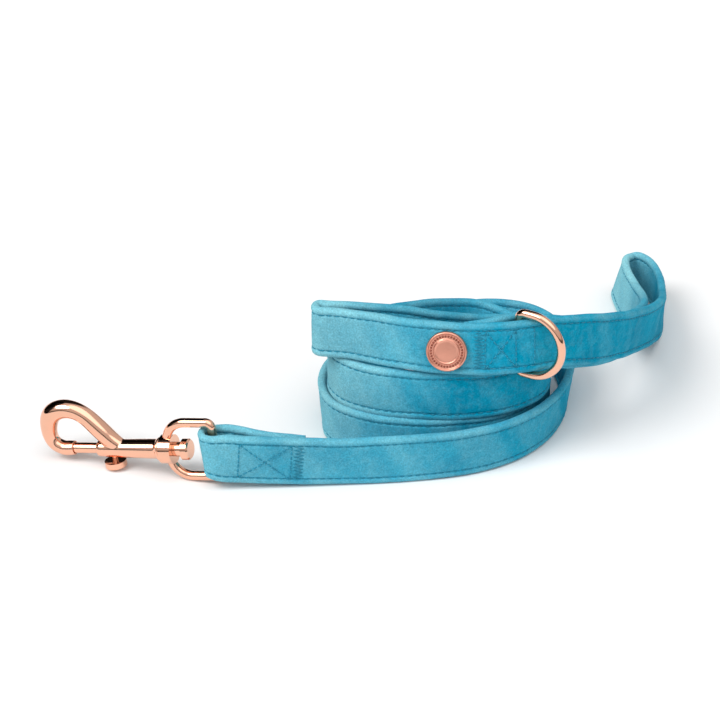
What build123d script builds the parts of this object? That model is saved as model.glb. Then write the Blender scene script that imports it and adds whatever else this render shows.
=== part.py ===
"""Velvet dog lead, loosely wound in three levels, with a bolt snap, a D-ring and a rivet medallion.

Millimetres, +Z up. The lead stands on its lower edge on z = 0 and the origin is the middle of its
footprint. X runs along the front of the winding and Y away from the front.
"""
from build123d import *
import math
import os

# ---------------------------------------------------------------- driving dimensions
STRAP_WIDTH = 20.0        # height of the strap as it stands on edge
STRAP_THICK = 3.5         # velvet, webbing, velvet
CORE_WIDTH = 16.0         # webbing inside the velvet sleeve
CORE_THICK = 1.9
LEVEL_RISE = STRAP_WIDTH  # each level of the winding stands on the one below
THREAD_PROUD = 0.4        # how far sewing thread stands off the velvet
THREAD_WIDTH = 0.8

EYE_BAR_HEIGHT = 14.3     # middle of the swivel eye's bar above the floor
SNAP_YAW = 17.5           # the snap points left and back by this angle
SNAP_TILT = 9.0           # and down towards its hook
EYE_BAR = Vector(-56.2, -76.7, EYE_BAR_HEIGHT)
EYE_WIRE = 3.5            # diameter of the eye's bars
EYE_INSIDE = 18.4         # room for the strap along the bar, where it is pinched a little
FOLD_WIDTH = 18.0
EYE_REACH = 18.5          # bar centre to hub centre
EYE_CORNER = 8.0
HUB_DIAMETER = 10.8
HUB_LENGTH = 4.6
RUNNING_GAP = 0.06        # radial clearance of pins that turn or slide

POST_DIAMETER = 4.0
POST_HEAD_DIAMETER = 7.9
POST_HEAD_LENGTH = 2.9
POST_NECK_DIAMETER = 5.4
POST_NECK_LENGTH = 3.5
COLLAR_START = 21.2       # distances along the snap, from the eye's bar
COLLAR_DIAMETER = 8.9
BARREL_START = 23.6
BARREL_END = 46.7
BARREL_DIAMETER = 7.2
BORE_START = 26.0
BOLT_DIAMETER = 4.0
BOLT_START = 38.7
BOLT_END = 57.0
BOLT_TRAVEL = 6.4
KNOB_PLACE = 41.0         # thumb knob's stem along the snap
KNOB_STEM = 2.0
KNOB_DIAMETER = 8.2
KNOB_TOP = 4.9           # below the bolt's axis
KNOB_BOTTOM = 7.1
SLOT_SPARE = 0.3
HOOK_SECTION = 6.4        # diameter of the hook's bar
NOSE_FACE = 56.2
SPRING_WIRE = 0.5
SPRING_DIAMETER = 3.4
SPRING_TURNS = 7

RING_WIRE = 3.2
RING_INSIDE = 21.0
RING_STRAIGHT = 5.25      # straight part of each leg before the bow
RING_CORNER = 2.6
RING_BAR = Vector(53.6, -60.55, 50.0)
RING_HEADING = -30.0      # the bow rests in front of the handle, this far round from +X

CAP_DIAMETER = 14.5
CAP_THICK = 2.0
CAP_PLACE = Vector(27.8, -65.25, 50.0)
CAP_TURN = -8.4           # the strap's direction at the medallion
CAP_POST = 3.0
BACK_CAP_DIAMETER = 10.0
BACK_CAP_THICK = 1.2
BACK_CAP_GAP = 0.35       # the strap is hollow towards the back cap

# ---------------------------------------------------------------- the strap's route
# Middle line of the strap from its raw end behind the snap's fold to its raw end behind the
# medallion: x, y and the height of the middle line.
BACK_LAYER = [(-24.2, -75.4, 10.8), (-33.7, -76, 11.5), (-41.7, -75.8, 12.0), (-48.2, -73.7, 12.4)]
ROUTE = [
    (-50.4, -80.1, 12.6), (-38.7, -80, 11.8), (-24.7, -79.1, 10.9), (-8.7, -77.8, 10), (14.3, -75.7, 10),
    (36.3, -71.5, 10), (54.3, -62, 10), (67.6, -46.5, 10), (75, -27.5, 10), (77.3, -7.5, 10), (74.8, 11.5, 10),
    (68.3, 25.5, 10), (54.3, 33.5, 10), (38.3, 32, 10), (21.3, 20.5, 10), (2.3, 4.5, 10), (-13.2, -11.5, 10),
    (-18.2, -29.5, 10), (-15.7, -47.5, 10), (-3.7, -60.5, 10), (16.3, -65.5, 10), (36.3, -64, 10),
    (52.3, -56.5, 10), (63.3, -41.5, 10), (68.3, -22.5, 10), (68.3, -2.5, 10),
    (60.3, 13.5, 12), (45.3, 22, 15.7), (27.3, 14.5, 20.2), (9.3, 0.5, 24.7), (-5.7, -15.5, 28.5),
    (-14.7, -31.5, 30), (-14.2, -48.5, 30), (-1.7, -58, 30), (18.3, -61, 30), (38.3, -61.3, 30),
    (54.3, -57, 30), (65.3, -46.5, 30), (68.3, -32.5, 30), (58.3, -26, 33), (44.3, -34.5, 37.5),
    (26.3, -44, 43.3), (8.3, -48, 49), (-9.7, -48, 50), (-14.7, -47.5, 50), (-19.9, -46, 50),
    (-20.1, -52.3, 50), (-14.7, -52.8, 50), (-6.7, -54.3, 50), (16.3, -63.5, 50), (39.3, -66.9, 50),
    (56.3, -64.1, 50), (66.3, -60, 50), (76.3, -53, 46.9), (87.3, -41.5, 41.5), (98.3, -22.5, 33.6),
    (107.3, -0.5, 25), (114.3, 21.5, 16.7), (118.3, 40.5, 10), (119.8, 57.5, 10), (117.8, 72.5, 10),
    (111.8, 81.5, 10), (104.8, 78, 10), (104.8, 64.5, 10), (107.3, 48.5, 10), (107.5, 30.5, 14.8),
    (104.8, 12.5, 21.1), (99.5, -6.5, 28.1), (91.8, -25, 35.4), (81.8, -40.5, 42), (72.8, -50.5, 46.7),
    (63.8, -56.1, 49.9), (54.3, -55.4, 50), (47.3, -59.9, 50), (41.3, -62.3, 50), (34.8, -62.7, 50),
]
BEND_SHARE = 0.45         # an arc may take this share of the shorter run beside its corner


def bend_radii(points):
    """Radius of the arc at each inner corner of a route, as large as its two runs allow."""
    flat = [Vector(x, y, 0) for x, y, _ in points]
    radii = []
    for before, corner, after in zip(flat, flat[1:], flat[2:]):
        run_in, run_out = corner - before, after - corner
        half_turn = math.radians(run_in.get_angle(run_out) / 2)
        radii.append(BEND_SHARE * min(run_in.length, run_out.length) / math.tan(half_turn))
    return radii


ROUTE_RADII = bend_radii(ROUTE)


def stretch(first, last):
    """Corners first to last of the route, with half a run at each end, and their radii."""
    flat = [Vector(x, y, 0) for x, y, _ in ROUTE]
    start = (flat[first - 1] + flat[first]) * 0.5 if first > 0 else flat[0]
    finish = (flat[last] + flat[last + 1]) * 0.5 if last < len(flat) - 1 else flat[last]
    corners = flat[max(first, 1):min(last, len(flat) - 2) + 1]
    return [start] + corners + [finish], ROUTE_RADII[max(first, 1) - 1:min(last, len(flat) - 2)]


def strap_outline(points, radii, thick):
    """Plan outline of a piece of strap: a wire of runs and tangent arcs, given its thickness."""
    with BuildSketch(Plane.XY, mode=Mode.PRIVATE) as outline:
        with BuildLine() as line:
            FilletPolyline(*points, radius=radii)
        trace(line.wires()[0], line_width=thick)
    return outline.sketch


def height_band(profile, width, direction=0.0, origin=(0, 0)):
    """A wall as high as the strap is wide whose middle follows the profile of (distance, height)."""
    depth = 400
    side = Plane(origin=(*origin, 0), x_dir=Vector(1, 0, 0).rotate(Axis.Z, direction),
                 z_dir=Vector(0, -1, 0).rotate(Axis.Z, direction))
    upper = [(along, height + width / 2) for along, height in profile]
    lower = [(along, height - width / 2) for along, height in reversed(profile)]
    with BuildPart(mode=Mode.PRIVATE) as wall:
        with BuildSketch(side):
            with BuildLine():
                Polyline(*upper, *lower, close=True)
            make_face()
        extrude(amount=depth, both=True)
    return wall.part


def level_band(height, width):
    return height_band([(-300, height), (300, height)], width)


def strap_piece(points, radii, thick, width, band):
    """A stretch of strap or webbing on edge, its middle line at the heights that the band gives."""
    with BuildPart(mode=Mode.PRIVATE) as piece:
        add(extrude(strap_outline(points, radii, thick), amount=100))
        add(band(width), mode=Mode.INTERSECT)
    return piece.part


def save(built, name):
    built.part.label = name
    export_step(built.part, "parts/" + name + ".step")


os.makedirs("parts", exist_ok=True)

# ---------------------------------------------------------------- the strap, in stretches
SNAP_SLOPE = [(-300, 12.6), (-50.7, 12.6), (-12, 10), (300, 10)]
FIRST_RISE = [(-300, 30), (-11.7, 30), (68.3, 10), (300, 10)]
SECOND_RISE = [(-300, 50), (5.3, 50), (67.3, 30), (300, 30)]
HANDLE_DROOP = [(-300, 50), (11, 50), (120, 10), (300, 10)]
HANDLE_HEADING = 65.0
HANDLE_START = (56.3, -63.5)


def snap_slope(width):
    return height_band(SNAP_SLOPE, width)


def first_rise(width):
    return height_band(FIRST_RISE, width)


def second_rise(width):
    return height_band(SECOND_RISE, width)


def handle_droop(width):
    return height_band(HANDLE_DROOP, width, HANDLE_HEADING, HANDLE_START)


def level(height):
    return lambda width: level_band(height, width)


STRETCHES = {
    "snap_end": (1, 3, snap_slope),
    "floor_turn": (4, 18, level(10)),
    "inner_turn": (19, 25, level(10)),
    "first_rise": (26, 31, first_rise),
    "middle_turn": (32, 37, level(30)),
    "second_rise": (38, 43, second_rise),
    "top_turn": (44, 51, level(50)),
    "handle_front": (52, 60, handle_droop),
    "handle_back": (61, 74, handle_droop),
}

snap_along = Vector(-math.cos(math.radians(SNAP_TILT)) * math.cos(math.radians(SNAP_YAW)),
                    math.cos(math.radians(SNAP_TILT)) * math.sin(math.radians(SNAP_YAW)),
                    -math.sin(math.radians(SNAP_TILT)))
snap_side = Vector(math.sin(math.radians(SNAP_YAW)), math.cos(math.radians(SNAP_YAW)), 0)
bar_up = snap_side.cross(snap_along)
FOLD_HEADING = 3.5        # the strap's direction as it leaves the fold
FOLD_LEG = 6.0            # the fold ends this far behind the eye's bar
FOLD_GAP = 3.8            # bar centre to the middle of each layer
fold_plane = Plane(origin=EYE_BAR, x_dir=Vector(1, 0, 0).rotate(Axis.Z, FOLD_HEADING), z_dir=bar_up)
fold_end = Plane(origin=EYE_BAR + fold_plane.x_dir * FOLD_LEG, z_dir=fold_plane.x_dir)
cap_plane = Plane(origin=CAP_PLACE, x_dir=Vector(1, 0, 0).rotate(Axis.Z, CAP_TURN),
                  z_dir=Vector(0, -1, 0).rotate(Axis.Z, CAP_TURN))


def fold_piece(thick, width):
    """The strap's turn round the swivel eye's bar, across the bar."""
    turn = FOLD_GAP * 0.9
    with BuildPart(mode=Mode.PRIVATE) as piece:
        with BuildSketch(fold_plane.offset(-width / 2)):
            with BuildLine() as line:
                FilletPolyline((FOLD_LEG, FOLD_GAP), (-FOLD_GAP, FOLD_GAP), (-FOLD_GAP, -FOLD_GAP),
                               (FOLD_LEG, -FOLD_GAP), radius=turn)
            trace(line.wires()[0], line_width=thick)
        extrude(amount=width)
    return piece.part


def back_layer(thick, width):
    """The strap's own end, folded back behind the first stretch."""
    flat = [Vector(x, y, 0) for x, y, _ in BACK_LAYER] + [Vector(-56.7, -72.0, 0)]
    radii = bend_radii([(p.X, p.Y, 0) for p in flat])
    return strap_piece(flat, radii, thick, width, snap_slope)


strap_volume = 0.0


def shell_and_core(name, build, width=STRAP_WIDTH):
    """Write one stretch as two nodes, the velvet sleeve and the webbing inside it, and give their volume."""
    core = build(CORE_THICK, CORE_WIDTH)
    with BuildPart() as velvet:
        add(build(STRAP_THICK, width))
        add(core, mode=Mode.SUBTRACT)
        if name == "top_turn":
            with Locations(cap_plane):
                Hole(radius=CAP_POST / 2 + RUNNING_GAP, depth=STRAP_THICK * 3)
    save(velvet, "velvet_" + name)
    with BuildPart() as webbing:
        add(core)
        if name == "top_turn":
            with Locations(cap_plane):
                Hole(radius=CAP_POST / 2 + RUNNING_GAP, depth=STRAP_THICK * 3)
    save(webbing, "webbing_" + name)
    return velvet.part.volume + webbing.part.volume


def snap_end_layers(thick, width):
    """Both layers of the sewn end, cut off square where the fold begins."""
    first, last, band = STRETCHES["snap_end"]
    points, radii = stretch(first, last)
    points[0] = points[0] + (points[0] - points[1]) * 1.8
    front = strap_piece(points, radii, thick, width, band)
    with BuildPart(mode=Mode.PRIVATE) as both:
        add(front)
        add(back_layer(thick, width))
        split(bisect_by=fold_end, keep=Keep.TOP)
    return both.part


strap_volume += shell_and_core("snap_fold", fold_piece, FOLD_WIDTH)
strap_volume += shell_and_core("snap_end", snap_end_layers)
for stretch_name, (first, last, band) in STRETCHES.items():
    if stretch_name != "snap_end":
        points, radii = stretch(first, last)
        strap_volume += shell_and_core(
            stretch_name, lambda thick, width: strap_piece(points, radii, thick, width, band))

# ---------------------------------------------------------------- the snap
def along(distance):
    """Plane across the snap, at a distance from the eye's bar towards the hook."""
    return Plane(origin=EYE_BAR + snap_along * distance, x_dir=snap_side, z_dir=snap_along)


# drawn from the side: x along the snap, y along the eye's bar
snap_plane = Plane(origin=EYE_BAR, x_dir=snap_along, z_dir=snap_side)

EYE_HALF = (EYE_INSIDE + EYE_WIRE) / 2
with BuildPart() as swivel_eye:
    with BuildLine(snap_plane) as eye_path:
        FilletPolyline((0, EYE_HALF), (EYE_REACH, EYE_HALF), (EYE_REACH, -EYE_HALF),
                       (0, -EYE_HALF), close=True,
                       radius=[EYE_WIRE * 0.6, EYE_CORNER, EYE_CORNER, EYE_WIRE * 0.6])
    eye_wire = eye_path.wires()[0]
    with BuildSketch(Plane(origin=eye_wire @ 0, z_dir=eye_wire % 0)):
        Circle(EYE_WIRE / 2)
    sweep(path=eye_wire)
    with BuildSketch(along(EYE_REACH - HUB_LENGTH / 2)):
        Circle(HUB_DIAMETER / 2)
    extrude(amount=HUB_LENGTH)
    with BuildSketch(along(EYE_REACH - HUB_LENGTH)):
        Circle(POST_DIAMETER / 2 + RUNNING_GAP)
    extrude(amount=HUB_LENGTH * 2, mode=Mode.SUBTRACT)
save(swivel_eye, "swivel_eye")

HEAD_END = EYE_REACH - HUB_LENGTH / 2 - RUNNING_GAP
NECK_START = HEAD_END - POST_NECK_LENGTH
with BuildPart() as swivel_post:
    with BuildSketch(along(NECK_START - POST_HEAD_LENGTH)):
        Circle(POST_HEAD_DIAMETER / 2)
    extrude(amount=POST_HEAD_LENGTH)
    chamfer(swivel_post.edges().filter_by(GeomType.CIRCLE).sort_by(
        lambda edge: (edge.center() - EYE_BAR).length)[0], length=0.6)
    with BuildSketch(along(NECK_START)):
        Circle(POST_NECK_DIAMETER / 2)
    extrude(amount=POST_NECK_LENGTH)
    with BuildSketch(along(HEAD_END)):
        Circle(POST_DIAMETER / 2)
    extrude(amount=BARREL_START - HEAD_END)
save(swivel_post, "swivel_post")

HOOK_LINE = [(39, 1.0), (48.5, 15.2), (63.6, 15.4), (64.6, 0.2), (NOSE_FACE, 0)]
SLOT_START = KNOB_PLACE - BOLT_TRAVEL - KNOB_STEM / 2 - SLOT_SPARE
SLOT_LENGTH = BOLT_TRAVEL + KNOB_STEM + SLOT_SPARE * 2
with BuildPart() as snap_body:
    with BuildSketch(along(COLLAR_START)):
        Circle(COLLAR_DIAMETER / 2)
    extrude(amount=BARREL_START - COLLAR_START)
    with BuildSketch(along(BARREL_START)):
        Circle(BARREL_DIAMETER / 2)
    extrude(amount=BARREL_END - BARREL_START)
    with BuildLine(snap_plane) as hook_path:
        FilletPolyline(*HOOK_LINE, radius=[6.5, 6.3, 5.6])
    hook_wire = hook_path.wires()[0]
    with BuildSketch(Plane(origin=hook_wire @ 0, z_dir=hook_wire % 0)):
        Circle(HOOK_SECTION / 2)
    sweep(path=hook_wire)
    with BuildSketch(along(COLLAR_START - 1)):
        Circle(POST_DIAMETER / 2)
    extrude(amount=BARREL_START - COLLAR_START + 1, mode=Mode.SUBTRACT)
    with BuildSketch(along(BORE_START)):
        Circle(BOLT_DIAMETER / 2 + RUNNING_GAP)
    extrude(amount=BOLT_END + 0.6 - BORE_START, mode=Mode.SUBTRACT)
    with BuildSketch(Plane(origin=EYE_BAR + snap_along * (SLOT_START + SLOT_LENGTH / 2),
                           x_dir=snap_along, z_dir=bar_up * -1)):
        SlotOverall(SLOT_LENGTH, KNOB_STEM + SLOT_SPARE * 2)
    extrude(amount=BARREL_DIAMETER, mode=Mode.SUBTRACT)
save(snap_body, "snap_body")

with BuildPart() as snap_bolt:
    with BuildSketch(along(BOLT_START)):
        Circle(BOLT_DIAMETER / 2)
    extrude(amount=BOLT_END - BOLT_START)
    chamfer(snap_bolt.edges().filter_by(GeomType.CIRCLE), length=0.4)
save(snap_bolt, "snap_bolt")

knob_base = Plane(origin=EYE_BAR + snap_along * KNOB_PLACE, x_dir=snap_along, z_dir=bar_up * -1)
with BuildPart() as thumb_knob:
    with BuildSketch(knob_base.offset(BOLT_DIAMETER / 2)):
        Circle(KNOB_STEM / 2)
    extrude(amount=KNOB_TOP - BOLT_DIAMETER / 2)
    with BuildSketch(knob_base.offset(KNOB_TOP)):
        Circle(KNOB_DIAMETER / 2)
    extrude(amount=KNOB_BOTTOM - KNOB_TOP)
save(thumb_knob, "thumb_knob")

SPRING_START = BORE_START + 0.1
SPRING_LENGTH = BOLT_START - 0.1 - SPRING_START
SPRING_RADIUS = (SPRING_DIAMETER - SPRING_WIRE) / 2
with BuildPart() as bolt_spring:
    coil = Helix(pitch=(SPRING_LENGTH - SPRING_WIRE) / SPRING_TURNS, height=SPRING_LENGTH - SPRING_WIRE,
                 radius=SPRING_RADIUS, mode=Mode.PRIVATE)
    spring_path = along(SPRING_START + SPRING_WIRE / 2).location * coil
    with BuildSketch(Plane(origin=spring_path @ 0, z_dir=spring_path % 0)):
        Circle(SPRING_WIRE / 2)
    sweep(path=spring_path)
save(bolt_spring, "bolt_spring")

# ---------------------------------------------------------------- the D-ring
ring_out = Vector(1, 0, 0).rotate(Axis.Z, RING_HEADING)
ring_plane = Plane(origin=RING_BAR, x_dir=ring_out, z_dir=Vector(0, 0, 1).cross(ring_out) * -1)
RING_HALF = (RING_INSIDE + RING_WIRE) / 2
with BuildPart() as d_ring:
    with BuildLine(ring_plane) as ring_path:
        bar_half = Line((0, 0), (0, RING_HALF - RING_CORNER))
        RadiusArc(bar_half @ 1, (RING_CORNER, RING_HALF), RING_CORNER)
        Line((RING_CORNER, RING_HALF), (RING_STRAIGHT, RING_HALF))
        ThreePointArc((RING_STRAIGHT, RING_HALF), (RING_STRAIGHT + RING_HALF, 0),
                      (RING_STRAIGHT, -RING_HALF))
        Line((RING_STRAIGHT, -RING_HALF), (RING_CORNER, -RING_HALF))
        RadiusArc((RING_CORNER, -RING_HALF), (0, RING_CORNER - RING_HALF), RING_CORNER)
        Line((0, RING_CORNER - RING_HALF), (0, 0))
    ring_wire = ring_path.wires()[0]
    with BuildSketch(Plane(origin=ring_wire @ 0, z_dir=ring_wire % 0)):
        Circle(RING_WIRE / 2)
    sweep(path=ring_wire)
save(d_ring, "d_ring")

# ---------------------------------------------------------------- the rivet medallion
CAP_EDGE = 0.5
FACE = STRAP_THICK / 2
with BuildPart() as medallion_cap:
    with BuildSketch(cap_plane.offset(FACE)):
        Circle(CAP_DIAMETER / 2)
    extrude(amount=CAP_THICK)
    fillet(medallion_cap.edges().filter_by(GeomType.CIRCLE).sort_by(Axis.Y)[0], radius=CAP_EDGE)
save(medallion_cap, "medallion_cap")

with BuildPart() as medallion_post:
    with BuildSketch(cap_plane.offset(-FACE - BACK_CAP_GAP)):
        Circle(CAP_POST / 2)
    extrude(amount=STRAP_THICK + BACK_CAP_GAP)
save(medallion_post, "medallion_post")

with BuildPart() as medallion_back:
    with BuildSketch(cap_plane.offset(-FACE - BACK_CAP_GAP - BACK_CAP_THICK)):
        Circle(BACK_CAP_DIAMETER / 2)
    extrude(amount=BACK_CAP_THICK)
save(medallion_back, "medallion_back")

# ---------------------------------------------------------------- the sewing
FRONT = Plane(origin=(0, 0, 0), x_dir=(1, 0, 0), z_dir=(0, -1, 0))


def sewn_rows(name, cover, pattern, back_limit):
    """Thread on the front face of a strap: the pattern, drawn from the front, laid on its surface."""
    with BuildPart() as thread:
        add(cover(STRAP_THICK + THREAD_PROUD * 2, STRAP_WIDTH))
        add(cover(STRAP_THICK, STRAP_WIDTH), mode=Mode.SUBTRACT)
        with BuildSketch(FRONT.offset(back_limit)):
            add(pattern)
        extrude(amount=40, mode=Mode.INTERSECT)
    save(thread, name)


def threads(ends):
    """Straight threads, given as pairs of end points, joined into one flat shape."""
    with BuildSketch(mode=Mode.PRIVATE) as joined:
        for start, finish in ends:
            with BuildLine(mode=Mode.PRIVATE) as line:
                Line(start, finish)
            trace(line.edges(), line_width=THREAD_WIDTH)
    return joined.sketch


def crossed_box(left, right, low, high):
    """A sewn rectangle with both diagonals."""
    corners = [(left, low), (right, low), (right, high), (left, high)]
    sides = list(zip(corners, corners[1:] + corners[:1]))
    return threads(sides + [(corners[0], corners[2]), (corners[1], corners[3])])


def bar_tack(left, right, low, high, rows):
    """A dense zigzag across the strap that holds a raw end down, as one band of thread."""
    step = (high - low) / rows
    points = [(left if row % 2 else right, low + step * row) for row in range(rows + 1)]
    return threads(list(zip(points, points[1:])))


def snap_end_front(thick, width):
    points, radii = stretch(1, 3)
    return strap_piece(points, radii, thick, width, snap_slope)


def top_turn_front(thick, width):
    points, radii = stretch(50, 51)
    return strap_piece(points, radii, thick, width, level(50))


SNAP_FACE = 80.0          # everything sewn on the first stretch lies in front of Y = -SNAP_FACE
TOP_FACE = 65.1
sewn_rows("snap_cross_stitch", snap_end_front, crossed_box(-43.7, -30.2, 4.6, 16.8), SNAP_FACE)
sewn_rows("snap_bar_tack", snap_end_front, bar_tack(-28.2, -24.2, 3.5, 17.5, 14), SNAP_FACE)
sewn_rows("handle_bar_tack", top_turn_front, bar_tack(36.1, 40.1, 42, 58, 16), TOP_FACE)
sewn_rows("handle_cross_stitch", top_turn_front, crossed_box(41.7, 49.7, 43, 57), TOP_FACE)

# ---------------------------------------------------------------- what was made
flat_route = [Vector(x, y, z) for x, y, z in BACK_LAYER + ROUTE]
route_length = sum((after - before).length for before, after in zip(flat_route, flat_route[1:]))
print("route radii", [round(radius, 1) for radius in ROUTE_RADII])
print("strap runs added up, mm", round(route_length, 1),
      "volume of that much plain strap, mm3", round(route_length * STRAP_WIDTH * STRAP_THICK),
      "volume of the stretches made, mm3", round(strap_volume))
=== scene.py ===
"""Velvet dog lead with rose-gold fittings, wound loosely and stood on its edge on a white table."""
import math

import bmesh
import bpy
import numpy as np
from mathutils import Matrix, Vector


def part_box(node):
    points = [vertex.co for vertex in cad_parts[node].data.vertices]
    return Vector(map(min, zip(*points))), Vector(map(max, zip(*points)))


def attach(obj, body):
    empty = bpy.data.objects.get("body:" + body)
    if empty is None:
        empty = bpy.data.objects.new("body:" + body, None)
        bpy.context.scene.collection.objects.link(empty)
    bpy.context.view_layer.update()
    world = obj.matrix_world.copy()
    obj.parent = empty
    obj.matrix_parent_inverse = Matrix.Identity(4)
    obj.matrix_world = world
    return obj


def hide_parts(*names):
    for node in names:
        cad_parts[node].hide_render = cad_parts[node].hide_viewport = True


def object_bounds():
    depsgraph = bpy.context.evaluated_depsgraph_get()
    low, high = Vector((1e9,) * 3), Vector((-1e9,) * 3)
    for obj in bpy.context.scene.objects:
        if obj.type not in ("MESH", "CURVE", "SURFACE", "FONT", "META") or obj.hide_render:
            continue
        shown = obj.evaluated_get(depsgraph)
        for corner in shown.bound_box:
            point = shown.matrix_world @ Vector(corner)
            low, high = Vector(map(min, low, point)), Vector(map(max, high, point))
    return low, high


MM = 0.001
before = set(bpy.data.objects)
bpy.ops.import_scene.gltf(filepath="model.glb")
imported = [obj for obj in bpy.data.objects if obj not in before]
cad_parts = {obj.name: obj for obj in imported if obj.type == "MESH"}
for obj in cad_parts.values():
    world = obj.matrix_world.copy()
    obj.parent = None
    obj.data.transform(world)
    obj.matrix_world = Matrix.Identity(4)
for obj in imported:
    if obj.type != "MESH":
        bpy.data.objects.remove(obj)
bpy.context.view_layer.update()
rng = np.random.default_rng(7)

# ------------------------------------------------------------------ camera
camera = bpy.data.objects.new("camera", bpy.data.cameras.new("camera"))
bpy.context.collection.objects.link(camera)
camera.location = (-0.0037, -0.86345, 0.46947)
CAMERA_TILT = 62          # degrees up from looking straight down
camera.rotation_euler = (math.radians(CAMERA_TILT), 0, 0)
camera.data.lens = 125
camera.data.sensor_width = 36
bpy.context.scene.camera = camera
bpy.context.scene.view_settings.view_transform = "Standard"

# ------------------------------------------------------------------ the strap's route
# Middle line of the strap from its raw end behind the snap's fold to its raw end behind the
# medallion, in mm: x, y, z, and how far the strap leans in x and y from its middle to its top edge.
ROUTE = [
    (-24.2, -75.7, 10.1, 0, -.8), (-33.7, -76.0, 10.9, 0, -.7), (-41.7, -75.5, 12.0, 0, -.5),
    (-48.2, -73.4, 12.5, 0, -.2), (-60.2, -72.5, 13.4, -1.4, .4), (-60.2, -80.8, 13.4, -1.4, .4),
    (-50.4, -80.3, 12.5, 0, -.4), (-38.7, -80.0, 11.8, 0, -.8), (-24.7, -79.1, 10.9, 0, -1),
    (-8.7, -77.8, 10, 0, -1), (14.3, -75.7, 10, 0, -1),
    (36.3, -71.5, 10, .3, -1.2), (54.3, -62, 10, .6, -1.3), (67.6, -46.5, 10, 1.0, -1.0),
    (75, -27.5, 10, 1.2, -.5), (77.3, -7.5, 10, 1.4, 0), (74.8, 11.5, 10, 1.4, .8),
    (68.3, 25.5, 10, 1.5, 1.8), (54.3, 33.5, 10, 0, 2.2), (38.3, 32, 10, -.5, 2),
    (21.3, 20.5, 10, -1, 1), (2.3, 4.5, 10, -1, 1), (-13.2, -11.5, 10, -1, 0),
    (-18.2, -29.5, 10, -1, 0), (-15.7, -47.5, 10, -.6, 0), (-3.5, -59.8, 10, 0, -.2),
    (16.3, -63.6, 10, 0, -.2), (36.3, -62.9, 10, 0, 0),
    (52.3, -56.5, 10, 0, 0), (63.3, -41.5, 10, 0, 0), (68.3, -22.5, 10, 0, 0), (68.3, -2.5, 10, 0, 0),
    (60.3, 13.5, 12, 0, 0), (45.3, 22, 15.7, 0, 0), (27.3, 14.5, 20.2, 0, 0), (9.3, 0.5, 24.7, 0, 0),
    (-5.7, -15.5, 28.5, 0, 0), (-14.7, -31.5, 30, 0, 0), (-14.2, -48.5, 29.8, 0, 0),
    (-1.7, -59.2, 29.4, 0, 0), (18.3, -63.5, 29.3, 0, 0), (38.3, -62.8, 28.9, 0, 0),
    (54.3, -57, 29.0, .3, 0), (65.3, -46.5, 29.6, .7, 0), (68.3, -32.5, 30, .7, 0),
    (58.3, -26, 33, 0, 0), (44.3, -34.5, 37.5, 0, 0), (26.3, -44, 43.3, 0, 0),
    (8.3, -48, 49, 0, 0), (-9.7, -48, 50, 0, 0), (-14.7, -47.5, 50, 0, 0), (-19.9, -46, 50, 0, 0),
    (-20.1, -52.3, 50, 0, 0), (-14.7, -52.8, 50, 0, 0), (-6.7, -54.3, 50, 0, .2),
    (16.3, -63.5, 50, 0, .8), (39.3, -66.9, 50, 0, 1.5), (56.3, -64.1, 50, 0, 1.4),
    (66.3, -60, 50, 0, .9), (76.3, -53, 46.9, 0, .2), (87.3, -41.5, 41.5, .6, -.6),
    (98.3, -22.5, 33.6, 1.6, -1), (107.3, -0.5, 25, 2, -1), (114.3, 21.5, 16.7, 1.4, -.6),
    (118.3, 40.5, 10, 0, -1), (119.8, 57.5, 10, -.5, -2), (117.8, 72.5, 10, 0, -2.8),
    (111.8, 81.5, 10, 1, -3), (104.8, 78, 10, 2, -3), (104.8, 64.5, 10, 1.8, -2),
    (107.3, 48.5, 10, 1.8, -1), (108.3, 30.5, 13.6, 2, -1), (105.6, 12.5, 19.3, 2, -1),
    (100.3, -6.5, 26.3, 2, -1), (92.8, -25.6, 33.4, 1.2, -.8), (82.8, -41.6, 40, .5, -.5),
    (73.2, -52.0, 45.2, 0, .3), (63.8, -57.3, 49.0, 0, .8), (54.3, -56.2, 50, 0, 1.2),
    (47.3, -59.9, 50, 0, 1.4), (41.3, -62.6, 49.4, 0, 1.5), (34.8, -63.2, 48.8, 0, 1.5),
]
STRAP_WIDTH = 20.0
HALF = STRAP_WIDTH / 2
FAR = 9.0                 # farther than any place on the strap, in metres


def spline_points(name, points):
    """Points in metres read from a smooth spline that has these control points, in mm."""
    curve = bpy.data.curves.new(name, "CURVE")
    curve.dimensions = "3D"
    curve.resolution_u = 14
    spline = curve.splines.new("NURBS")
    spline.points.add(len(points) - 1)
    for point, place in zip(spline.points, points):
        point.co = (place[0] * MM, place[1] * MM, place[2] * MM, 1)
    spline.order_u = 3
    spline.use_endpoint_u = True
    holder = bpy.data.objects.new(name, curve)
    bpy.context.collection.objects.link(holder)
    mesh = bpy.data.meshes.new_from_object(holder)
    found = np.array([vertex.co[:] for vertex in mesh.vertices])
    bpy.data.objects.remove(holder)
    bpy.data.meshes.remove(mesh)
    return found


middle = spline_points("route", ROUTE)
upper = spline_points("route_top", [(x + lx, y + ly, z + HALF) for x, y, z, lx, ly in ROUTE])
steps = np.linalg.norm(np.diff(middle, axis=0), axis=1)
distance = np.concatenate([[0], np.cumsum(steps)])
tangent = np.gradient(middle, axis=0)
tangent /= np.linalg.norm(tangent, axis=1)[:, None]
up = upper - middle
up -= (up * tangent).sum(1)[:, None] * tangent
up /= np.linalg.norm(up, axis=1)[:, None]
outward = np.cross(tangent, up)
TOTAL = distance[-1]
print("strap length", round(TOTAL, 4))


def nearest(x, y, z, after=0.0, before=FAR):
    """Distance along the strap of the point nearest to a place given in mm."""
    gap = np.linalg.norm(middle - np.array([x, y, z]) * MM, axis=1)
    gap[(distance < after) | (distance > before)] = FAR
    return distance[int(np.argmin(gap))]


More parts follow.
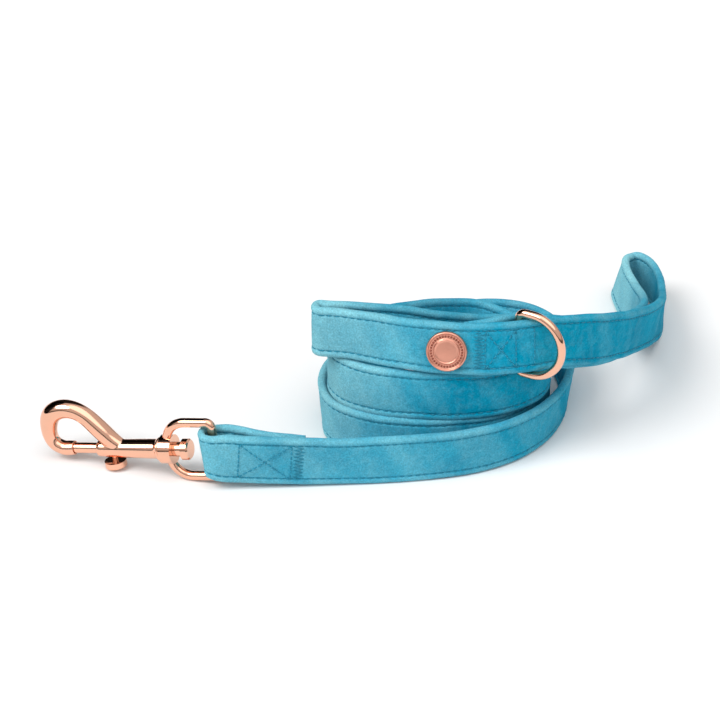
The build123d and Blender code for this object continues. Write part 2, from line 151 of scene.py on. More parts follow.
def sample(table, where):
    """Rows of a table kept along the strap, read at distances from its start in metres."""
    return np.stack([np.interp(where, distance, table[:, axis]) for axis in range(3)], axis=-1)


FOLD = nearest(-60.2, -76.6, 13.4, before=0.08)
TOP_TURN_START = 0.8      # distance from which only the top turn and the handle are left
CAP_AT = nearest(27.8, -65.25, 50, after=TOP_TURN_START)
SEWN_REACH = 0.06         # the handle's sewing lies within this distance of the medallion
RING_FRONT = nearest(53.6, -64.6, 50, after=TOP_TURN_START, before=CAP_AT + SEWN_REACH)
RING_BACK = nearest(53.6, -57.0, 50, after=RING_FRONT + 0.1)

# ------------------------------------------------------------------ cross-section of the strap
# all in mm
STITCH_LINE = 7.2         # from the strap's middle to its topstitching
STITCH_PITCH = 2.9
STITCH_LONG = 2.3
BODY_HALF = 1.5           # half the thickness between the rows of topstitching
BODY_CROWN = 0.10
EDGE_HALF = 1.6           # half the thickness of the rolled edges
EDGE_SLOPE = 0.12
GROOVE_DEEP = 0.42        # how far a row of stitches pulls the velvet in, and over what width
GROOVE_WIDE = 0.34
PUCKER = 0.05             # heights of the small unevenness of the velvet
STITCH_PULL = 0.05
WAVE = 0.045
DRAG = 0.04
EDGE_WANDER = 0.10


def smooth_noise(seed, where, wavelengths, count=5):
    """Sum of sines with fixed random phases, about 1 high."""
    draw = np.random.default_rng(seed)
    low, high = wavelengths
    total = np.zeros_like(where)
    for _ in range(count):
        wave = draw.uniform(low, high)
        total = total + np.sin(where * (2 * math.pi / wave) + draw.uniform(0, 6.28))
    return total / math.sqrt(count)


def half_thickness(w):
    """Half the strap's thickness at w mm from its middle: flat body, sewn groove, rolled edge."""
    a = np.abs(w)
    body = BODY_HALF - BODY_CROWN * (a / STITCH_LINE) ** 2
    centre = HALF - EDGE_HALF
    roll = EDGE_HALF * np.sqrt(np.clip(1 - (np.maximum(a - centre, 0) / EDGE_HALF) ** 2, 0, 1))
    roll = np.where(a < centre, EDGE_HALF - EDGE_SLOPE * (centre - a), roll)
    mix = 1 / (1 + np.exp(-(a - STITCH_LINE) / 0.12))
    groove = GROOVE_DEEP * np.exp(-((a - STITCH_LINE) / GROOVE_WIDE) ** 2)
    return body * (1 - mix) + roll * mix - groove


def face_relief(where, w, side):
    """How far the velvet stands out from its plain section, in mm, at a place on one face."""
    s = where * 1000
    flat = np.clip(1 - (np.abs(w) / 6.8) ** 4, 0, 1)
    pucker = PUCKER * smooth_noise(11 + side, s + w * 0.2, (3.2, 7)) \
        * np.exp(-((np.abs(w) - 8.4) / 1.2) ** 2)
    pull = -STITCH_PULL * (0.5 + 0.5 * np.cos(s * 2 * math.pi / STITCH_PITCH)) \
        * np.exp(-((np.abs(w) - STITCH_LINE) / 0.5) ** 2)
    wave = WAVE * smooth_noise(23 + side, s + w * 0.4, (14, 36)) \
        * smooth_noise(27, w - s * 0.1, (13, 25)) * flat
    drag = DRAG * smooth_noise(31 + side, s * 0.9 + np.abs(w) * 0.8, (4, 9)) \
        * np.exp(-((np.abs(w) - 5.9) / 1.0) ** 2)
    return pucker + pull + wave + drag


# how the strap narrows and thins at its fold and at its raw ends: share, and reach in metres
FOLD_PINCH, FOLD_PINCH_REACH = 0.125, 0.008
FOLD_PRESS, FOLD_PRESS_REACH = 0.16, 0.006
RAW_PRESS, RAW_PRESS_REACH = 0.62, 0.0035


def pinch(where):
    """The strap is squeezed a little narrower where it goes round the swivel eye's bar."""
    return 1 - FOLD_PINCH * np.exp(-((where - FOLD) / FOLD_PINCH_REACH) ** 4)


def pressed(where):
    """The velvet is pressed thinner in the snap's fold, and thin where its raw ends are sewn down."""
    amount = FOLD_PRESS * np.exp(-((where - FOLD) / FOLD_PRESS_REACH) ** 4)
    raw_end = np.exp(-(where / RAW_PRESS_REACH) ** 2) \
        + np.exp(-((TOTAL - where) / RAW_PRESS_REACH) ** 2)
    return 1 - amount - RAW_PRESS * raw_end


def edge_line(where):
    """Small sideways wander of the strap's width, in mm."""
    return EDGE_WANDER * smooth_noise(5, where * 1000, (18, 55))


def surface(where, w, side):
    """Point on one face of the strap: w mm up from the middle, side +1 outward or -1 inward."""
    where = np.asarray(where, float)
    w = np.asarray(w, float)
    thick = half_thickness(w) * pressed(where) + face_relief(where, w, side)
    wander = edge_line(where) * np.sign(w) * np.clip(np.abs(w) / 8, 0, 1)
    across = (w * pinch(where) + wander) * MM
    return sample(middle, where) + sample(up, where) * across[..., None] \
        + sample(outward, where) * (thick * side * MM)[..., None]


# ------------------------------------------------------------------ meshes
def new_object(name, verts, faces, finish):
    """A smooth-shaded object with one material."""
    mesh = bpy.data.meshes.new(name)
    mesh.from_pydata([tuple(v) for v in verts], [], [tuple(int(i) for i in f) for f in faces])
    mesh.validate()
    mesh.polygons.foreach_set("use_smooth", [True] * len(mesh.polygons))
    mesh.materials.append(finish)
    built = bpy.data.objects.new(name, mesh)
    bpy.context.collection.objects.link(built)
    return built


def loft(rings):
    """Vertices and faces of a capped tube through rings of points, all of the same size."""
    rings = np.asarray(rings)
    count, size = rings.shape[:2]
    verts = rings.reshape(-1, 3)
    faces = []
    for i in range(count - 1):
        for j in range(size):
            k = (j + 1) % size
            faces.append((i * size + j, (i + 1) * size + j, (i + 1) * size + k, i * size + k))
    faces.append(tuple(range(size)))
    faces.append(tuple(reversed(range((count - 1) * size, count * size))))
    return verts, faces


# ------------------------------------------------------------------ materials
def material(name):
    """A new material with one principled shader: the material, its node tree and the shader."""
    made = bpy.data.materials.new(name)
    made.use_nodes = True
    nodes = made.node_tree.nodes
    nodes.clear()
    output = nodes.new("ShaderNodeOutputMaterial")
    shader = nodes.new("ShaderNodeBsdfPrincipled")
    made.node_tree.links.new(shader.outputs[0], output.inputs[0])
    return made, made.node_tree, shader


def linear(srgb):
    """Linear colour with alpha from display values of 0 to 255."""
    return tuple(c / 12.92 if c <= 0.04045 else ((c + 0.055) / 1.055) ** 2.4
                 for c in (v / 255 for v in srgb)) + (1,)


def noise(tree, scale, detail, roughness, distortion=0.0):
    """Noise texture in the object's own space."""
    place = tree.nodes.new("ShaderNodeTexCoord")
    texture = tree.nodes.new("ShaderNodeTexNoise")
    texture.inputs["Scale"].default_value = scale
    texture.inputs["Detail"].default_value = detail
    texture.inputs["Roughness"].default_value = roughness
    texture.inputs["Distortion"].default_value = distortion
    tree.links.new(place.outputs["Object"], texture.inputs[0])
    return texture


def ramp(tree, source, stops):
    """Colour ramp over a value, from (place, colour) stops."""
    node = tree.nodes.new("ShaderNodeValToRGB")
    while len(node.color_ramp.elements) < len(stops):
        node.color_ramp.elements.new(0.5)
    for element, (place, colour) in zip(node.color_ramp.elements, stops):
        element.position = place
        element.color = colour
    tree.links.new(source, node.inputs[0])
    return node


def grey(value):
    return (value, value, value, 1)


def mixed(tree, factor, first, second, blend="MIX"):
    """Two colours mixed: each value may be a number, a colour or a socket."""
    node = tree.nodes.new("ShaderNodeMix")
    node.data_type = "RGBA"
    node.blend_type = blend
    sockets = (node.inputs[0], node.inputs[6], node.inputs[7])     # factor, A and B of a colour mix
    for socket, value in zip(sockets, (factor, first, second)):
        if isinstance(value, bpy.types.NodeSocket):
            tree.links.new(value, socket)
        else:
            socket.default_value = value
    return node.outputs[2]


def bump(tree, shader, source, strength, depth, onto=None):
    """Relief from a value, depth in metres, on top of an earlier relief if one is given."""
    node = tree.nodes.new("ShaderNodeBump")
    node.inputs["Strength"].default_value = strength
    node.inputs["Distance"].default_value = depth
    tree.links.new(source, node.inputs["Height"])
    if onto is not None:
        tree.links.new(onto, node.inputs["Normal"])
    tree.links.new(node.outputs[0], shader.inputs["Normal"])
    return node.outputs[0]


VELVET_DEEP = (0, 134, 167)
VELVET_MID = (0, 150, 183)
# pale colour for the painted sheen and for the random crushed mottling
VELVET_PALE_SHEEN_AND_CRUSH = (156, 215, 221)
VELVET_SHEEN = (90, 205, 226)
THREAD_DEEP = (8, 107, 133)
THREAD_PALE = (22, 156, 186)


def velvet_material():
    """Short-pile velvet: brushed light and dark patches, crushed mottling, painted sheen that pales it
    where it faces the light, pile grain, soft sheen.
    """
    made, tree, shader = material("velvet")
    patches = noise(tree, 42, 3, 0.6, distortion=0.8)
    brushed = ramp(tree, patches.outputs[0], [(0.34, grey(0)), (0.68, grey(1))])
    colour = mixed(tree, brushed.outputs[0], linear(VELVET_DEEP), linear(VELVET_MID))
    # painted sheen: this attribute of the strap paints the velvet paler where it faces the light and
    # along its edges
    attribute = tree.nodes.new("ShaderNodeAttribute")
    attribute.attribute_name = "painted_sheen"
    crushed = noise(tree, 330, 3, 0.65, distortion=0.4)
    crush_tone = ramp(tree, crushed.outputs[0], [(0.42, grey(0.0)), (0.86, grey(0.15))])
    # the painted sheen plus random crushed mottling, towards the pale colour
    painted_sheen_and_crush = tree.nodes.new("ShaderNodeMath")
    painted_sheen_and_crush.operation = "ADD"
    painted_sheen_and_crush.use_clamp = True
    tree.links.new(attribute.outputs["Fac"], painted_sheen_and_crush.inputs[0])
    tree.links.new(crush_tone.outputs[0], painted_sheen_and_crush.inputs[1])
    colour = mixed(tree, painted_sheen_and_crush.outputs[0], colour, linear(VELVET_PALE_SHEEN_AND_CRUSH))
    fibres = noise(tree, 1700, 2, 0.6)
    fibre_tone = ramp(tree, fibres.outputs[0], [(0.30, grey(0.78)), (0.70, grey(1.20))])
    colour = mixed(tree, 1.0, colour, fibre_tone.outputs[0], "MULTIPLY")
    tree.links.new(colour, shader.inputs["Base Color"])
    shader.inputs["Roughness"].default_value = 0.95
    shader.inputs["Specular IOR Level"].default_value = 0.05
    shader.inputs["Sheen Weight"].default_value = 0.045
    shader.inputs["Sheen Roughness"].default_value = 0.45
    shader.inputs["Sheen Tint"].default_value = linear(VELVET_SHEEN)
    relief = bump(tree, shader, crushed.outputs[0], 0.30, 0.0006)
    bump(tree, shader, fibres.outputs[0], 0.35, 0.00018, onto=relief)
    return made


def thread_material():
    """Twisted polyester thread, a little darker than the velvet, with fine lighter plies."""
    made, tree, shader = material("thread")
    plies = noise(tree, 2600, 1, 0.5)
    tone = ramp(tree, plies.outputs[0], [(0.35, linear(THREAD_DEEP)), (0.7, linear(THREAD_PALE))])
    tree.links.new(tone.outputs[0], shader.inputs["Base Color"])
    shader.inputs["Roughness"].default_value = 0.6
    bump(tree, shader, plies.outputs[0], 0.3, 0.00008)
    return made


def metal_material(name, colour, roughness, brushed=0.0):
    """Metal a little uneven in tone and polish, with brushed grain or faint casting ripples."""
    made, tree, shader = material(name)
    tone = noise(tree, 120, 3, 0.5)
    tint = ramp(tree, tone.outputs[0], [(0.3, linear(tuple(c * 0.975 for c in colour))),
                                        (0.7, linear(colour))])
    tree.links.new(tint.outputs[0], shader.inputs["Base Color"])
    shader.inputs["Metallic"].default_value = 1.0
    wear = noise(tree, 420, 4, 0.6)
    polish = ramp(tree, wear.outputs[0], [(0.3, grey(roughness * 0.8)),
                                          (0.75, grey(roughness * 1.25))])
    tree.links.new(polish.outputs[0], shader.inputs["Roughness"])
    if brushed:
        grain = noise(tree, 1600, 2, 0.6)
        bump(tree, shader, grain.outputs[0], brushed, 0.00010)
    else:
        ripple = noise(tree, 70, 2, 0.4)
        bump(tree, shader, ripple.outputs[0], 0.10, 0.0004)
    return made


VELVET = velvet_material()
THREAD = thread_material()
GOLD = metal_material("rose_gold", (246, 190, 162), 0.10)
SATIN = metal_material("rose_gold_matt", (232, 164, 142), 0.36, 0.35)
# darker rose gold for the beads in the medallion's groove
DARK_GOLD = metal_material("rose_gold_dark", (150, 88, 74), 0.45, 0.2)
STEEL = metal_material("spring_steel", (190, 190, 192), 0.28)

# ------------------------------------------------------------------ the velvet strap
# places across half the strap at which its section is drawn, in mm from its middle
PROFILE = [0, 1.6, 3.2, 4.6, 5.6, 6.2, 6.55, 6.8, 7.0, 7.2, 7.4, 7.6, 7.85, 8.2, 8.7, 9.15, 9.5,
           9.75, 9.9, 9.97]
profile = np.array([-w for w in reversed(PROFILE)] + PROFILE[1:])


def strap_rings(where):
    """Closed sections of the strap, up its outward face and down its inward one."""
    outer = surface(where[:, None], np.broadcast_to(profile, (len(where), len(profile))), 1)
    inner = surface(where[:, None], np.broadcast_to(profile[::-1], (len(where), len(profile))), -1)
    return np.concatenate([outer, inner], axis=1)


SECTION_STEP = 0.00058
grid = np.arange(0, TOTAL, SECTION_STEP)
where_all = np.concatenate([grid, [TOTAL - 1e-5]])
verts, faces = loft(strap_rings(where_all))
strap = new_object("velvet_strap", verts, faces, VELVET)

# painted sheen: the velvet is painted paler where its pile faces the light from the left, and along its
# rolled edges
ring_size = len(profile) * 2
s_all = np.repeat(where_all, ring_size)
w_all = np.tile(np.concatenate([profile, profile[::-1]]), len(where_all))

# how pale the velvet is painted for sheen at places along the strap: (x, y, z) in mm, and from 0 to 1
PAINTED_SHEEN_PLACES = [
    (-24, -75, 11, .18), (-60, -76.5, 13.4, .42), (-40, -80, 12, .22), (-9, -78, 10, .18),
    (15, -76, 10, .18), (45, -67, 10, .12), (68, -45, 10, .08), (77, -8, 10, .04),
    (55, 33, 10, .08), (0, 3, 10, .10), (-16, -20, 10, .42), (-16, -46, 10, .52),
    (0, -61, 10, .22), (25, -65, 10, .10), (68, -20, 10, .05), (45, 22, 16, .08),
    (5, -4, 26, .06), (-14, -36, 30, .45), (-13, -50, 30, .56), (-2, -57.5, 30, .42),
    (14, -60.5, 30, .14), (30, -61, 30, .0), (56, -56, 30, .0), (44, -34.5, 37.5, .08),
    (10, -47, 49, .08), (-19, -49, 50, .54), (-10, -53.5, 50, .44), (4, -58.5, 50, .28),
    (16, -63, 50, .20), (26, -65, 50, .12), (38, -66.4, 50, .04), (60, -63, 50, .0),
    (88, -41, 41, .0), (110, 8, 22, .0), (119, 55, 10, .04), (113, 78, 10, .40),
    (105, 70, 10, .66), (107, 50, 10, .52), (106, 15, 20, .10), (80, -44, 42, .05),
    (36, -62.6, 50, .1),
]
SHEEN_PLACE_STEP = 0.16           # no two neighbours in the list are farther apart along the strap, in metres
# strength of the painted highlight on the rolled edges
PAINTED_EDGE_HIGHLIGHT = 0.15
NAP_STREAK = 0.05
PAINTED_SHEEN_MOST = 0.92
after = 0.0
sheen_at, sheen_level = [], []
for x, y, z, level in PAINTED_SHEEN_PLACES:
    after = nearest(x, y, z, after=after, before=after + SHEEN_PLACE_STEP)
    sheen_at.append(after)
    sheen_level.append(level)
# painted highlight on the rolled edges, where they would catch the top light
painted_edge_highlight = PAINTED_EDGE_HIGHLIGHT * np.exp(-((np.abs(w_all) - 9.2) / 1.0) ** 2)
streaks = NAP_STREAK * np.clip(smooth_noise(41, s_all * 1000 + w_all * 0.6, (9, 33)), -1.5, 1.5)
# painted sheen along the strap, plus the painted edge highlight and random streaks of the pile
painted_sheen = np.interp(s_all, sheen_at, sheen_level) + painted_edge_highlight + streaks
attribute = strap.data.attributes.new("painted_sheen", "FLOAT", "POINT")
attribute.data.foreach_set("value", np.clip(painted_sheen, 0, PAINTED_SHEEN_MOST))
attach(strap, "strap")
STRETCHES = ["snap_fold", "snap_end", "floor_turn", "inner_turn", "first_rise", "middle_turn",
             "second_rise", "top_turn", "handle_front", "handle_back"]
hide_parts(*["velvet_" + name for name in STRETCHES],
            *["webbing_" + name for name in STRETCHES])

# ------------------------------------------------------------------ sewing
stitch_verts, stitch_faces = [], []
# in mm, but for the two counts and TACK_LAG
THREAD_RADIUS = 0.24
BOX_RADIUS = 0.26
TACK_RADIUS = 0.13
STITCH_BOW = 0.10         # how far a stitch stands out at its middle
STITCH_SINK = 0.22        # how far its ends sink in
STITCH_SIDES = 6
STITCH_RINGS = 5
STITCH_WOBBLE = 0.06
BOX_PITCH = 2.2
TACK_INSET = 0.2
TACK_LAG = 0.00018        # in metres


def capsule(start, finish, side, radius, bow=STITCH_BOW):
    """One stitch on a face, from (metres along, mm up) to (metres along, mm up), its ends sunk in."""
    t = np.linspace(0, 1, STITCH_RINGS)
    where = start[0] + (finish[0] - start[0]) * t
    w = start[1] + (finish[1] - start[1]) * t
    arch = np.sin(math.pi * t)
    height = radius * 0.55 - STITCH_SINK + (STITCH_SINK + bow) * arch ** 0.6
    line = surface(where, w, side) + sample(outward, where) * (side * MM * height)[:, None]
    run = np.gradient(line, axis=0)
    run /= np.linalg.norm(run, axis=1)[:, None]
    out = sample(outward, where) * side
    across = np.cross(run, out)
    across /= np.linalg.norm(across, axis=1)[:, None]
    out = np.cross(across, run)
    size = radius * MM * (0.55 + 0.45 * arch ** 0.5)
    angles = np.linspace(0, 2 * math.pi, STITCH_SIDES, endpoint=False)[None, :, None]
    ringset = line[:, None, :] + size[:, None, None] * (
        np.cos(angles) * across[:, None, :] + np.sin(angles) * out[:, None, :])
    made, sewn = loft(ringset)
    offset = sum(len(v) for v in stitch_verts)
    stitch_verts.append(made)
    stitch_faces.extend(tuple(i + offset for i in face) for face in sewn)


def sew_line(start, finish, side, pitch=STITCH_PITCH, radius=THREAD_RADIUS):
    """A row of stitches between two places on a face."""
    length = math.hypot((finish[0] - start[0]) * 1000, finish[1] - start[1])
    count = max(1, round(length / pitch))
    share = STITCH_LONG / STITCH_PITCH
    for i in range(count):
        a = (i + (1 - share) / 2) / count
        b = (i + (1 + share) / 2) / count
        jog = rng.normal(0, STITCH_WOBBLE, 2)
        capsule((start[0] + (finish[0] - start[0]) * a, start[1] + (finish[1] - start[1]) * a + jog[0]),
                (start[0] + (finish[0] - start[0]) * b, start[1] + (finish[1] - start[1]) * b + jog[1]),
                side, radius)


def sewn_object(name, *replaced):
    """One object of every stitch sewn since the last call."""
    made = new_object(name, np.concatenate(stitch_verts), stitch_faces, THREAD)
    stitch_verts.clear()
    stitch_faces.clear()
    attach(made, "strap")
    if replaced:
        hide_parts(*replaced)
    return made


BOX_LEFT = nearest(-48.0, -80.1, 12.4, after=FOLD)
BOX_RIGHT = nearest(-29.3, -79.5, 11.2, after=FOLD)
TACK_LEFT = BOX_RIGHT + 0.0004
TACK_RIGHT = BOX_RIGHT + 0.0050
HANDLE_TACK = (nearest(36.6, -66.4, 50, after=CAP_AT), nearest(41.0, -66.6, 50, after=CAP_AT))
HANDLE_BOX = (nearest(41.6, -66.6, 50, after=CAP_AT), nearest(52.0, -65.2, 50, after=CAP_AT))
RING_SEAM = nearest(58.6, -63.3, 50, after=CAP_AT, before=CAP_AT + SEWN_REACH)
STITCH_END = 0.0015
for side in (1, -1):
    for w in (-STITCH_LINE, STITCH_LINE):
        sew_line((STITCH_END, w), (TOTAL - STITCH_END, w), side)
topstitching = sewn_object("edge_topstitching")


def sew_box(left, right):
    """Crossed box of stitches on the outward face."""
    corners = [(left, -STITCH_LINE), (right, -STITCH_LINE), (right, STITCH_LINE), (left, STITCH_LINE)]
    for a, b in [(0, 1), (1, 2), (2, 3), (3, 0), (0, 2), (1, 3)]:
        sew_line(corners[a], corners[b], 1, pitch=BOX_PITCH, radius=BOX_RADIUS)


def sew_tack(left, right, rows):
    """Dense zigzag across the outward face."""
    heights = np.linspace(-STITCH_LINE + TACK_INSET, STITCH_LINE - TACK_INSET, rows + 1)
    for i in range(rows):
        ends = (left, right) if i % 2 else (right, left)
        lag = rng.normal(0, TACK_LAG, 2)
        capsule((ends[0] + lag[0], heights[i]), (ends[1] + lag[1], heights[i + 1]),
                1, TACK_RADIUS, bow=0.08)


sew_box(BOX_LEFT, BOX_RIGHT)
snap_cross = sewn_object("snap_cross_sewing", "snap_cross_stitch")
sew_tack(TACK_LEFT, TACK_RIGHT, 19)
snap_tack = sewn_object("snap_bar_sewing", "snap_bar_tack")
sew_box(*HANDLE_BOX)
sew_line((RING_SEAM, -STITCH_LINE), (RING_SEAM, STITCH_LINE), 1, pitch=BOX_PITCH)
handle_cross = sewn_object("handle_cross_sewing", "handle_cross_stitch")
sew_tack(*HANDLE_TACK, 22)
handle_tack = sewn_object("handle_bar_sewing", "handle_bar_tack")


# the same boxes come out on the far side of each folded-back end
def behind(where, low, high):
    """Distance, between two others, at which the strap lies behind a place on its front layer."""
    gap = np.linalg.norm(middle - sample(middle, np.array([where]))[0], axis=1)
    gap[(distance < low) | (distance > high)] = FAR
    return distance[int(np.argmin(gap))]


sew_box(behind(BOX_LEFT, 0, FOLD - 0.006), behind(BOX_RIGHT, 0, FOLD - 0.006))
sew_box(*(behind(where, RING_BACK - 0.02, TOTAL) for where in HANDLE_BOX))
back_sewing = sewn_object("back_cross_sewing")

# ------------------------------------------------------------------ the rivet medallion
low, high = (Vector(corner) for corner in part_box("medallion_cap"))
cap_turn = math.radians(-8.4)
CAP_LEAN = 0.19           # how far the disc looks up, per unit outward
cap_out = Vector((math.sin(cap_turn), -math.cos(cap_turn), CAP_LEAN)).normalized()
cap_side = Vector((math.cos(cap_turn), math.sin(cap_turn), 0))
cap_centre = (low + high) / 2


def revolve(name, outline, centre, axis, side, finish, segments=96):
    """Solid of revolution: outline of (radius, height) in mm about an axis."""
    other = axis.cross(side)
    rings = []
    for radius, height in outline:
        ring = []
        for k in range(segments):
            turn = 2 * math.pi * k / segments
            ring.append(centre + axis * height * MM
                        + (side * math.cos(turn) + other * math.sin(turn)) * radius * MM)
        rings.append(ring)
    made, skin = loft([[tuple(p) for p in ring] for ring in rings])
    return new_object(name, made, skin, finish)


outline = [(6.7, -1.0), (7.25, -0.9), (7.46, -0.5), (7.5, 0.1), (7.4, 0.55), (7.2, 0.82), (6.95, 0.9),
           (6.75, 0.80), (6.62, 0.5), (6.5, 0.36), (6.1, 0.34), (5.1, 0.34), (4.82, 0.36), (4.7, 0.66),
           (4.5, 0.84), (4.3, 0.80), (4.2, 0.66), (3.6, 0.68), (2.4, 0.74), (0.15, 0.80)]
cap = revolve("medallion_disc", outline, cap_centre, cap_out, cap_side, SATIN)
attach(cap, "strap")
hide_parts("medallion_cap")

# a ring of plain beads in the disc's groove, in a darker rose gold
bead_verts, bead_faces = [], []
BEADS = 34
BEAD_RADIUS = 0.40
BEAD_RING = 5.7           # radius of the ring, and its height above the cap's middle
BEAD_HEIGHT = 0.42
other = cap_out.cross(cap_side)
for k in range(BEADS):
    turn = 2 * math.pi * k / BEADS
    spot = cap_centre + cap_out * BEAD_HEIGHT * MM \
        + (cap_side * math.cos(turn) + other * math.sin(turn)) * BEAD_RING * MM
    ball = bmesh.new()
    bmesh.ops.create_icosphere(ball, subdivisions=2, radius=BEAD_RADIUS * MM)
    offset = len(bead_verts)
    for vertex in ball.verts:
        bead_verts.append(tuple(vertex.co + spot))
    for face in ball.faces:
        bead_faces.append(tuple(v.index + offset for v in face.verts))
    ball.free()
beads = new_object("medallion_beads", bead_verts, bead_faces, DARK_GOLD)
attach(beads, "strap")

# ------------------------------------------------------------------ the snap's cast body
yaw, tilt = math.radians(17.5), math.radians(9.0)
ALONG = Vector((-math.cos(tilt) * math.cos(yaw), math.cos(tilt) * math.sin(yaw), -math.sin(tilt)))
SIDE = Vector((math.sin(yaw), math.cos(yaw), 0))
RISE = SIDE.cross(ALONG)
EYE_BAR = Vector((-56.2, -76.7, 14.3))


def snap_point(s, u, n=0.0):
    """Place in metres, s mm along the snap from the eye's bar, u mm up and n mm sideways."""
    return (EYE_BAR + ALONG * s + RISE * u + SIDE * n) * MM


# the cast arm, in mm: along the snap, up, and the arm's radius
ARM = [(36.5, 0.2, 2.5), (40.3, 2.6, 3.2), (45.0, 8.2, 3.5), (50.0, 14.1, 3.2), (55.3, 16.4, 3.4),
       (60.4, 15.9, 3.7), (64.2, 13.0, 3.7), (65.8, 6.6, 2.9), (64.6, 1.8, 2.6), (60.9, -0.2, 2.7),
       (58.6, -0.1, 2.8), (56.2, 0.0, 2.6)]
ARM_FLAT = 1.04           # the arm is this much wider sideways than it is high
arm_line = spline_points("arm", [tuple(snap_point(s, u) / MM) for s, u, _ in ARM])
# the same curve, each point raised by the arm's radius there
arm_size = spline_points("arm_size", [tuple(snap_point(s, u) / MM + Vector((0, 0, r)))
                                      for s, u, r in ARM])
arm_radius = np.linalg.norm(arm_size - arm_line, axis=1)
arm_run = np.gradient(arm_line, axis=0)
arm_run /= np.linalg.norm(arm_run, axis=1)[:, None]
arm_side = np.array(SIDE)
arm_rise = np.cross(arm_run, arm_side)
turns = np.linspace(0, 2 * math.pi, 48, endpoint=False)[None, :, None]
arm_rings = arm_line[:, None, :] + arm_radius[:, None, None] * (
    np.cos(turns) * arm_side * ARM_FLAT + np.sin(turns) * arm_rise[:, None, :])
arm_verts, arm_faces = loft(arm_rings)
arm = new_object("snap_cast_body", arm_verts, arm_faces, GOLD)
# the collar and the barrel, in mm: along the snap, and the radius
BARREL = [(20.85, 2.6), (21.0, 3.7), (21.4, 4.3), (21.9, 4.45), (22.4, 4.2), (22.7, 3.9), (23.2, 3.75),
          (24.5, 3.7), (30, 3.6), (40, 3.35), (45.6, 3.15), (46.4, 3.0), (46.7, 2.75)]


def turned(name, outline, segments=48):
    """Solid turned about the snap's own axis, from (radius, place along the snap) in mm."""
    return revolve(name, outline, snap_point(0, 0), ALONG, SIDE, GOLD, segments)


barrel = turned("barrel", [(r, s) for s, r in BARREL], 64)
BORE_RADIUS = 2.2
SOCKET_RADIUS = 2.05
bore = turned("bore", [(BORE_RADIUS, 26.0), (BORE_RADIUS, 47.8)])
socket = turned("socket", [(SOCKET_RADIUS, 20.0), (SOCKET_RADIUS, 24.0)])
SLOT_FROM, SLOT_TO, SLOT_HALF = 34.6, 41.0, 1.35
slot_rings = []
for u in (0.0, -6.0):
    ring = []
    for k in range(32):
        turn = 2 * math.pi * k / 32
        centre = SLOT_TO if math.cos(turn) > 0 else SLOT_FROM
        ring.append(tuple(snap_point(centre + SLOT_HALF * math.cos(turn), u,
                                     SLOT_HALF * math.sin(turn))))
    slot_rings.append(ring)
slot_verts, slot_faces = loft(slot_rings)
slot_cut = new_object("slot_cut", slot_verts, slot_faces, GOLD)
nose_bore = turned("nose_bore", [(BORE_RADIUS, 55.0), (BORE_RADIUS, 57.6)])


def flipped_out(piece):
    """Turn every face of a closed piece outward."""
    shape = bmesh.new()
    shape.from_mesh(piece.data)
    bmesh.ops.recalc_face_normals(shape, faces=shape.faces)
    shape.to_mesh(piece.data)
    shape.free()


def combine(target, tool, operation):
    """Join a tool to a piece, or cut it away, and delete the tool."""
    for piece in (target, tool):
        flipped_out(piece)
    modifier = target.modifiers.new("boolean", "BOOLEAN")
    modifier.operation = operation
    modifier.solver = "EXACT"
    modifier.object = tool
    apply_modifiers(target)
    bpy.data.objects.remove(tool)


def apply_modifiers(target):
    graph = bpy.context.evaluated_depsgraph_get()
    mesh = bpy.data.meshes.new_from_object(target.evaluated_get(graph))
    target.modifiers.clear()
    target.data = mesh


combine(arm, barrel, "UNION")
combine(arm, bore, "DIFFERENCE")
combine(arm, nose_bore, "DIFFERENCE")
combine(arm, socket, "DIFFERENCE")
combine(arm, slot_cut, "DIFFERENCE")
remesh = arm.modifiers.new("remesh", "REMESH")
remesh.mode = "VOXEL"
remesh.voxel_size = 0.0002     # fine enough for the slot's edges
soften = arm.modifiers.new("soften", "SMOOTH")
soften.factor = 0.5
soften.iterations = 8
apply_modifiers(arm)
arm.data.polygons.foreach_set("use_smooth", [True] * len(arm.data.polygons))
arm.data.materials.clear()
arm.data.materials.append(GOLD)
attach(arm, "snap")
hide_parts("snap_body")

# ------------------------------------------------------------------ finishes of the CAD parts kept
KEPT = {
    "swivel_eye": GOLD, "swivel_post": GOLD, "snap_bolt": GOLD, "thumb_knob": GOLD,
    "d_ring": GOLD, "bolt_spring": STEEL, "medallion_back": SATIN, "medallion_post": SATIN,
}
for name, finish in KEPT.items():
    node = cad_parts[name]
    for slot in range(len(node.material_slots)):
        node.material_slots[slot].material = finish
    if not node.material_slots:
        node.data.materials.append(finish)

# ------------------------------------------------------------------ table, light
WORLD_STRENGTH = 0.72
floor_material, floor_tree, floor_shader = material("table")
floor_shader.inputs["Base Color"].default_value = grey(0.91)
floor_shader.inputs["Roughness"].default_value = 0.9
floor_shader.inputs["Specular IOR Level"].default_value = 0.0
floor_mesh = bpy.data.meshes.new("table")
REACH = 40.0              # of the table from its middle, in metres
floor_mesh.from_pydata([(-REACH, -REACH, 0), (REACH, -REACH, 0), (REACH, REACH, 0),
                        (-REACH, REACH, 0)], [], [(0, 1, 2, 3)])
floor_mesh.materials.append(floor_material)
floor = bpy.data.objects.new("table", floor_mesh)
FLOOR_GAP = 0.00005       # keeps the table clear of the lowest piece
floor.location.z = min(0.0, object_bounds()[0][2]) - FLOOR_GAP
bpy.context.collection.objects.link(floor)

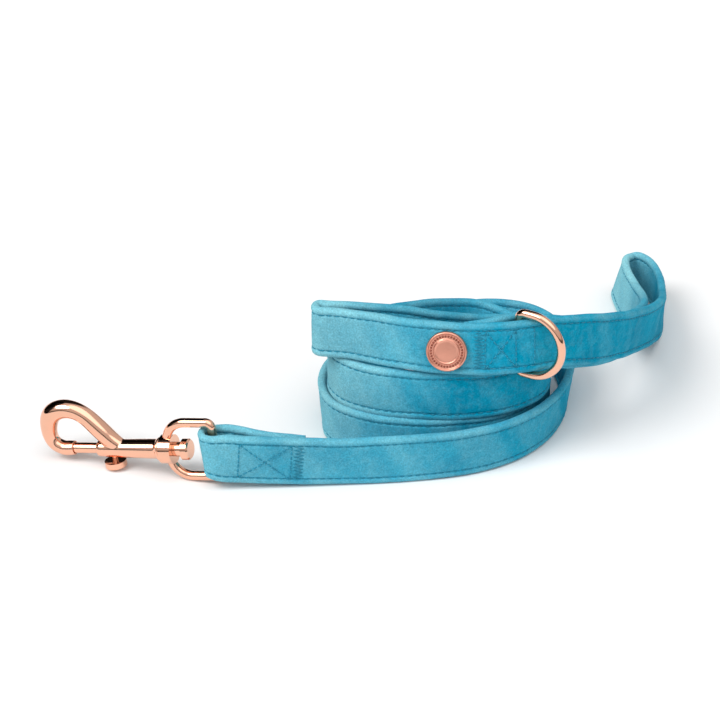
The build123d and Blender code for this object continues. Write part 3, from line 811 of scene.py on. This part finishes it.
# a pale studio, dim near the horizon and in three directions, for the metal to mirror dark streaks
DARK_BACK = (-0.20, 0.80, 0.56)
DARK_SIDE = (-0.68, 0.40, 0.58)
DARK_LEFT = (-0.93, 0.25, 0.22)
world = bpy.data.worlds.new("studio")
world.use_nodes = True
bpy.context.scene.world = world
tree = world.node_tree
background = tree.nodes["Background"]
direction = tree.nodes.new("ShaderNodeTexCoord")
split_up = tree.nodes.new("ShaderNodeSeparateXYZ")
tree.links.new(direction.outputs["Generated"], split_up.inputs[0])
sky = ramp(tree, split_up.outputs[2], [(0.0, grey(0.05)), (0.10, grey(0.08)), (0.22, grey(0.85)),
                                       (1.0, grey(1.0))])


def patch(toward, inner, outer, inside):
    """Tone by angle from a direction: inside nearer than inner degrees, 1 farther than outer."""
    dot = tree.nodes.new("ShaderNodeVectorMath")
    dot.operation = "DOT_PRODUCT"
    dot.inputs[1].default_value = Vector(toward).normalized()
    tree.links.new(direction.outputs["Generated"], dot.inputs[0])
    return ramp(tree, dot.outputs["Value"], [(math.cos(math.radians(outer)), grey(1.0)),
                                             (math.cos(math.radians(inner)), grey(inside))]).outputs[0]


tone = sky.outputs[0]
for place in [(DARK_BACK, 30, 38, 0.02), (DARK_SIDE, 24, 30, 0.03), (DARK_LEFT, 30, 36, 0.03)]:
    tone = mixed(tree, 1.0, tone, patch(*place), "MULTIPLY")
tree.links.new(tone, background.inputs["Color"])
background.inputs["Strength"].default_value = WORLD_STRENGTH


def sun(name, azimuth, elevation, strength, softness):
    """Light from an azimuth (0 is from the camera's side, 90 from the left) and elevation."""
    light = bpy.data.lights.new(name, "SUN")
    light.energy = strength
    light.angle = math.radians(softness)
    holder = bpy.data.objects.new(name, light)
    a, e = math.radians(azimuth), math.radians(elevation)
    source = Vector((-math.sin(a) * math.cos(e), -math.cos(a) * math.cos(e), math.sin(e)))
    holder.rotation_euler = (-source).to_track_quat("-Z", "Y").to_euler()
    bpy.context.collection.objects.link(holder)


sun("key", 58, 46, 1.9, 34)
sun("fill", -20, 64, 0.9, 60)
